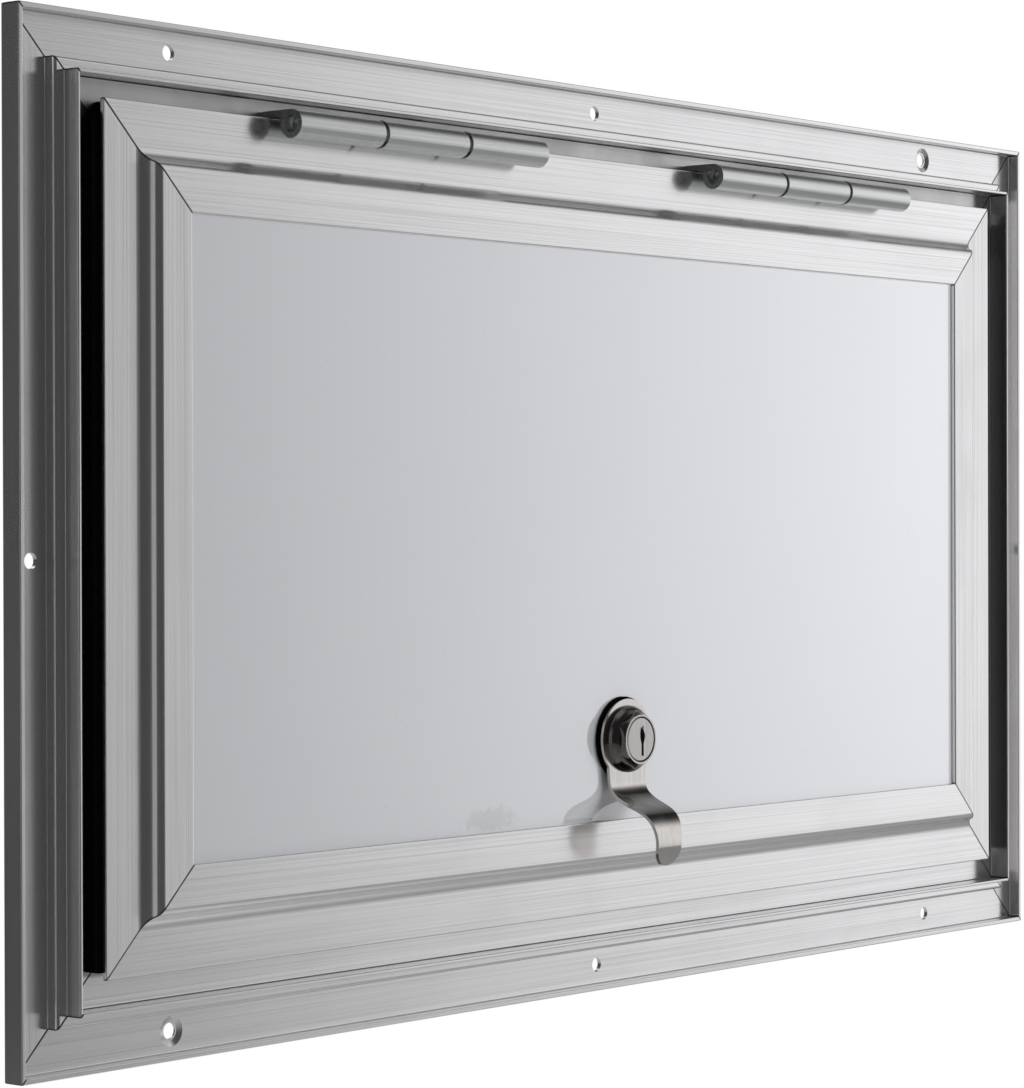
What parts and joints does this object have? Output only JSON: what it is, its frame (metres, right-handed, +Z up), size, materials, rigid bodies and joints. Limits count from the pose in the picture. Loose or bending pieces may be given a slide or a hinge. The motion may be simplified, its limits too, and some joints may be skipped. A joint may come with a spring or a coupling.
{
  "type": "rv baggage door",
  "caption": "Rectangular lift-up baggage door: mitred aluminium surround with a screw flange, insulated framed panel on two short hinges, key lock with a curved finger pull.",
  "frame": {"origin": "centre of the rectangle of corner screw holes, in the plane of the wall skin that the back of the flange sits on", "axes": "+X to the right seen from outside the vehicle, +Y into the vehicle, +Z up"},
  "size_m": [0.5334, 0.0545, 0.3048],
  "materials": {
    "mill_aluminium": "mill finish, drawn along the length",
    "panel_paint": "smooth light grey coil paint, semi gloss",
    "black_rubber": "closed-cell foam rubber, black",
    "brushed_stainless": "pressed stainless, fine vertical brushing",
    "dark_chrome": "black nickel plate, polished",
    "plug_face": "satin nickel",
    "zinc_steel": "zinc plated",
    "foam_core": "expanded foam board",
    "brass": "stamped brass"
  },
  "bodies": {
    "frame": {"frame_top": "mill_aluminium", "frame_bottom": "mill_aluminium", "frame_left": "mill_aluminium", "frame_right": "mill_aluminium", "frame_corner_keys": "zinc_steel", "perimeter_seal": "black_rubber", "hinge_left_frame_leaf": "mill_aluminium", "hinge_right_frame_leaf": "mill_aluminium", "hinge_left_pin": "zinc_steel", "hinge_right_pin": "zinc_steel", "frame_hinge_rivets": "mill_aluminium"},
    "door": {"door_rail_top": "mill_aluminium", "door_rail_bottom": "mill_aluminium", "door_stile_left": "mill_aluminium", "door_stile_right": "mill_aluminium", "door_corner_keys": "zinc_steel", "door_face_panel": "panel_paint", "door_core": "foam_core", "door_back_panel": "panel_paint", "hinge_left_door_leaf": "mill_aluminium", "hinge_right_door_leaf": "mill_aluminium", "door_hinge_rivets": "mill_aluminium", "lock_gasket": "black_rubber", "finger_pull": "brushed_stainless", "lock_body": "dark_chrome", "lock_nut": "zinc_steel"},
    "lock_plug": {"key_plug": "plug_face", "plug_wafers": "brass", "lock_cam": "zinc_steel", "cam_washer": "zinc_steel", "cam_screw": "zinc_steel"}
  },
  "joints": [
    {"name": "door_swing", "type": "hinge", "parent": "frame", "child": "door", "pos_m": [0, -0.0173, 0.12575], "axis": [-1, 0, 0], "range_deg": [0, 170]},
    {"name": "lock_turn", "type": "hinge", "parent": "door", "child": "lock_plug", "pos_m": [0, 0, -0.0672], "axis": [0, 1, 0], "range_deg": [0, 90]}
  ]
}
